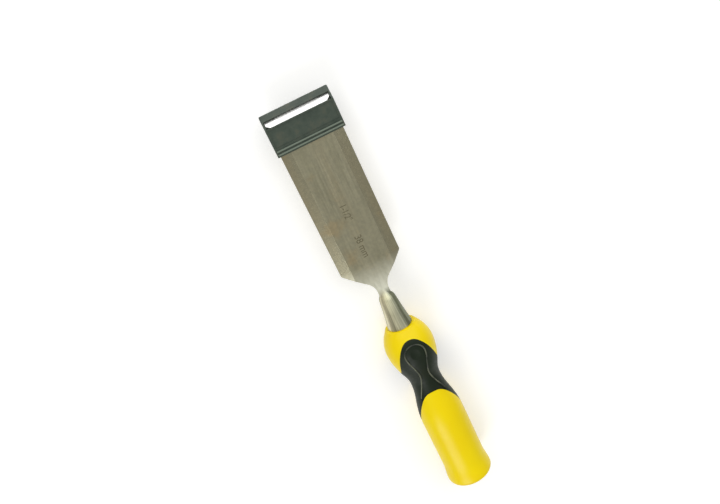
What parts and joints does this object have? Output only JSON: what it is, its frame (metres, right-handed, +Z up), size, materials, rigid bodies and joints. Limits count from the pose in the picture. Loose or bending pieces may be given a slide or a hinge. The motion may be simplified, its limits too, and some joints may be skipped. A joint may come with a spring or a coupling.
{
  "type": "bench chisel",
  "caption": "Bench chisel with a wide bevel-edged steel blade, a waisted two-material handle and a flat push-on guard over the cutting edge.",
  "frame": {"origin": "under the middle of the whole tool, guard on, at the level that the handle lies on", "axes": "+X along the tool, from the butt of the handle to the cutting edge; +Z up, with the blade's bevelled side up and its flat back down; +Y across the blade"},
  "size_m": [0.2722, 0.0408, 0.0286],
  "materials": {
    "blade_steel": "lengthwise-ground carbon steel",
    "handle_hard": "smooth hard yellow plastic, semi-gloss",
    "handle_soft": "fine-textured soft black plastic",
    "guard_plastic": "dark grey flexible plastic"
  },
  "bodies": {
    "chisel": {"blade": "blade_steel", "handle_core": "handle_hard", "soft_grip": "handle_soft"},
    "guard": {"blade_guard": "guard_plastic"}
  },
  "joints": [
    {"name": "guard_pull_off", "type": "slide", "parent": "chisel", "child": "guard", "axis": [1, 0, 0], "range_m": [0, 0.04]}
  ]
}
